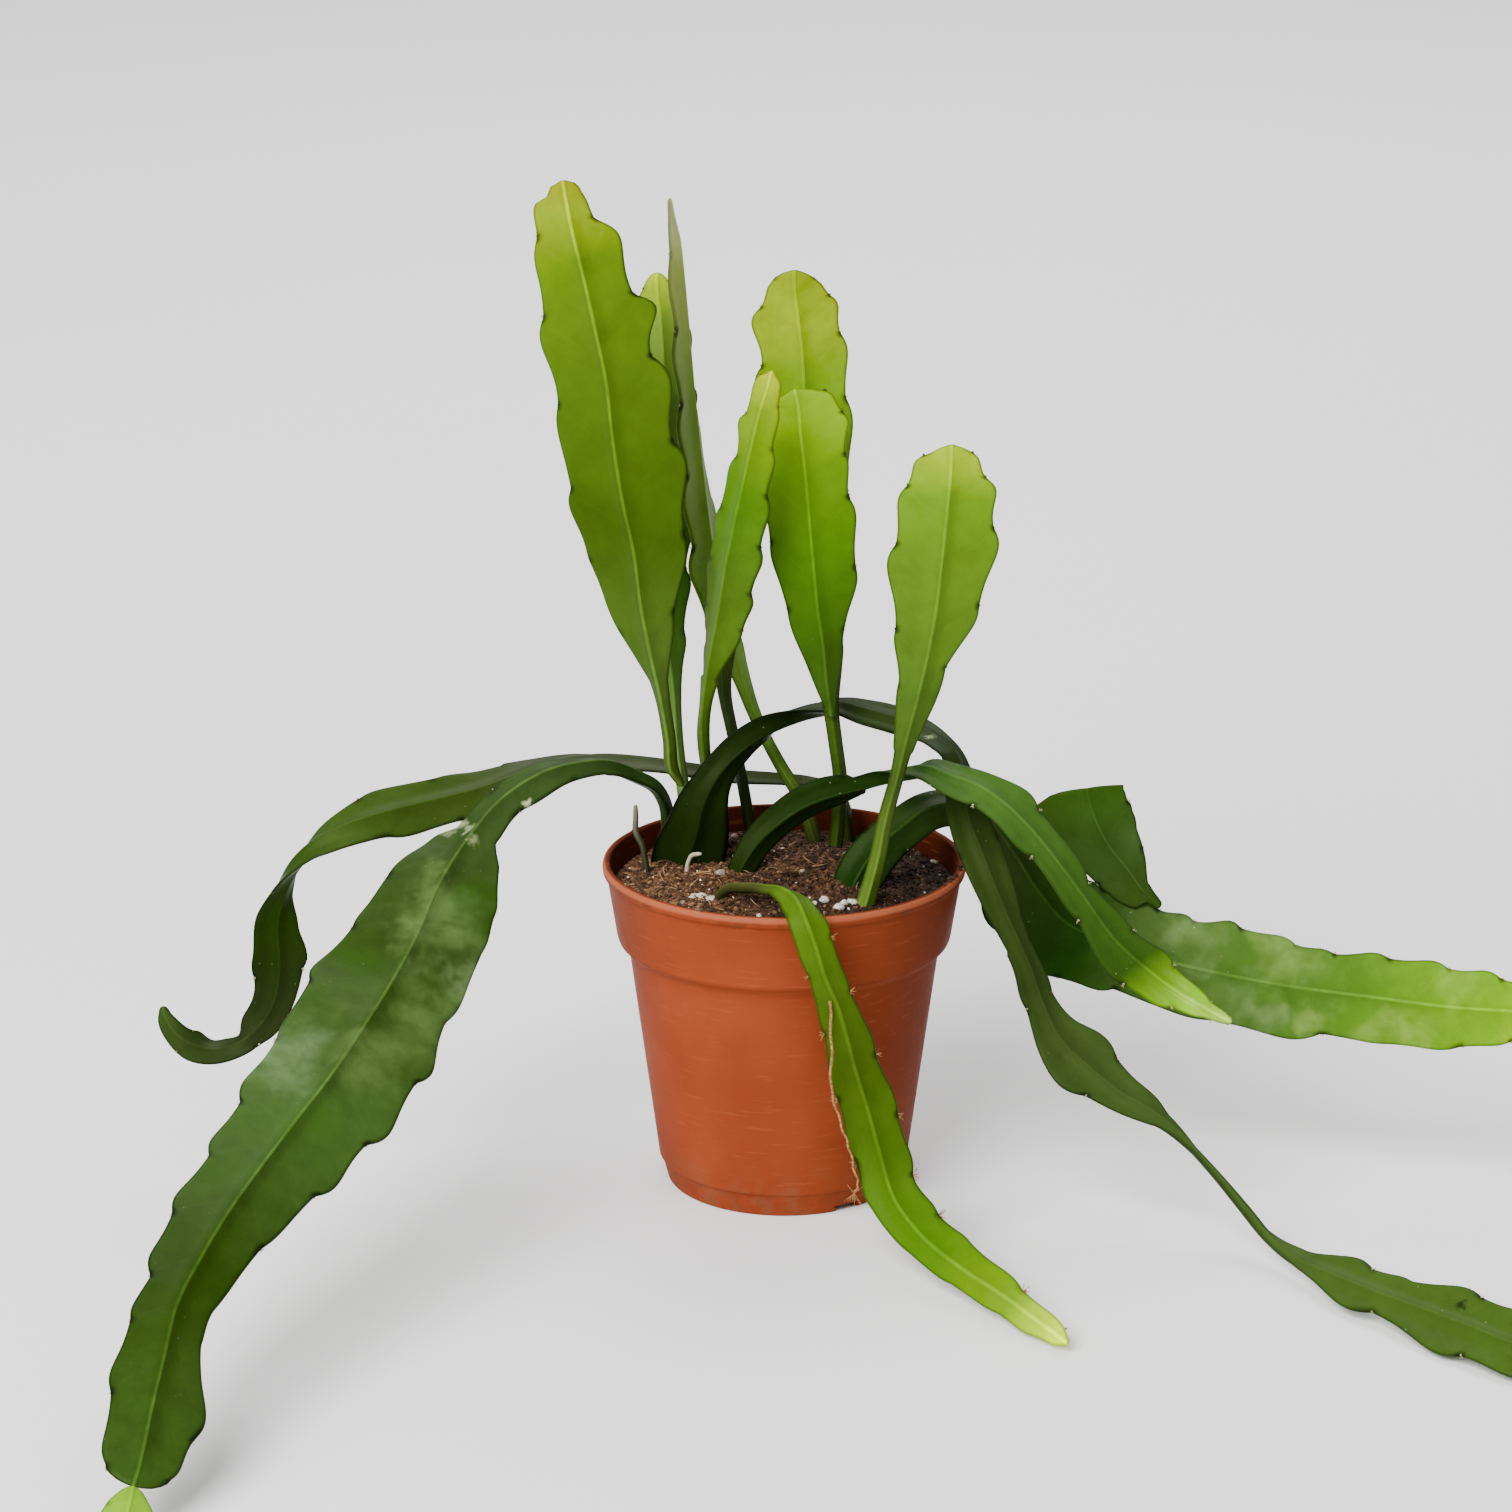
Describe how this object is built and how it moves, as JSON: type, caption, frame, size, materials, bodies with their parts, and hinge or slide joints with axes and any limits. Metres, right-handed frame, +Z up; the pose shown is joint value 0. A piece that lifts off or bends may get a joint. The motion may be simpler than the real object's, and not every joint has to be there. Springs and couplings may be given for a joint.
{
  "type": "potted orchid cactus",
  "caption": "Orchid cactus with flat toothed stems, standing, arching and trailing out of a round tapered plastic nursery pot filled with peat soil.",
  "frame": {"origin": "middle of the pot's underside, on the surface it stands on", "axes": "+Z up along the pot's axis, -Y to the front that the picture shows, +X to the picture's right"},
  "size_m": [0.4712, 0.3551, 0.3374],
  "materials": {
    "terracotta_plastic": "satin moulded plastic, terracotta red",
    "peat": "crumbly damp peat with fibres and perlite",
    "old_stem": "waxy dark green skin",
    "grown_stem": "waxy mid green skin",
    "young_stem": "waxy light green skin",
    "dry_shoot": "dry grey-green stalk",
    "pale_root": "matt pale root"
  },
  "bodies": {
    "root": {"pot": "terracotta_plastic", "soil": "peat", "stem_arching_right": "old_stem", "stem_arching_centre": "old_stem", "stem_dark_blunt": "old_stem", "stem_reaching_right": "grown_stem", "stem_hanging_left": "grown_stem", "stem_curling_left": "grown_stem", "stem_left_tall": "grown_stem", "stem_back_edge_on": "grown_stem", "stem_hidden_back": "grown_stem", "stem_trailing_front": "young_stem", "stem_back_left": "young_stem", "stem_centre_leaning": "young_stem", "stem_back_centre": "young_stem", "stem_front_centre": "young_stem", "stem_right_upright": "young_stem", "young_shoot_left": "young_stem", "dry_shoot": "dry_shoot", "white_root": "pale_root"}
  },
  "joints": []
}
